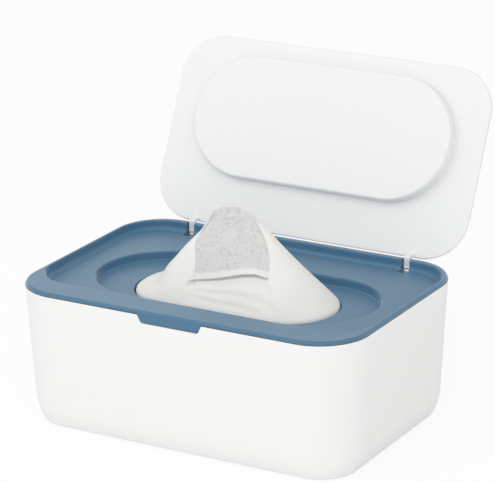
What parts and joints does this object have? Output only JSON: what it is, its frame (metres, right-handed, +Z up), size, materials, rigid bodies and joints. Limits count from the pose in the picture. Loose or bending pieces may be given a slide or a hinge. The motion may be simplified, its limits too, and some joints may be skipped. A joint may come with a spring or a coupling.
{
  "type": "countertop wipes dispenser",
  "caption": "Rounded tapered white box with a drop-in blue frame, an obround opening, a rear-hinged plug lid standing open, and interfolded wipes with one drawn up through the opening.",
  "frame": {"origin": "centre of the rounded-rectangle footprint, on the surface that the four feet stand on", "axes": "+X along the length, to the right from the front; +Y to the hinge side; +Z up"},
  "size_m": [0.1948, 0.1818, 0.167],
  "materials": {
    "white_shell": "fine satin moulded polypropylene",
    "blue_frame": "satin steel-blue moulded polypropylene",
    "white_lid": "satin white moulded polypropylene",
    "pin_steel": "drawn wire",
    "foot_rubber": "soft matte",
    "wipe_cloth": "damp spunlace non-woven"
  },
  "bodies": {
    "root": {"base_box": "white_shell", "foot_1": "foot_rubber", "foot_2": "foot_rubber", "foot_3": "foot_rubber", "foot_4": "foot_rubber", "wipe_01": "wipe_cloth", "wipe_02": "wipe_cloth", "wipe_03": "wipe_cloth", "wipe_04": "wipe_cloth", "wipe_05": "wipe_cloth", "wipe_06": "wipe_cloth", "wipe_07": "wipe_cloth", "wipe_08": "wipe_cloth", "wipe_09": "wipe_cloth", "wipe_10": "wipe_cloth", "wipe_11": "wipe_cloth", "wipe_12": "wipe_cloth", "wipe_13": "wipe_cloth", "wipe_14": "wipe_cloth", "wipe_15": "wipe_cloth", "wipe_16": "wipe_cloth", "wipe_17": "wipe_cloth", "wipe_18": "wipe_cloth", "pulled_wipe": "wipe_cloth"},
    "frame": {"top_frame": "blue_frame", "hinge_pin_left": "pin_steel", "hinge_pin_right": "pin_steel"},
    "lid": {"lid": "white_lid"}
  },
  "joints": [
    {"name": "frame_lift", "type": "slide", "parent": "root", "child": "frame", "axis": [0, 0, 1], "range_m": [0, 0.08]},
    {"name": "lid_hinge", "type": "hinge", "parent": "frame", "child": "lid", "pos_m": [0, 0.0651, 0.0706], "axis": [1, 0, 0], "range_deg": [0, 116], "deforming": ["pulled_wipe"]}
  ]
}
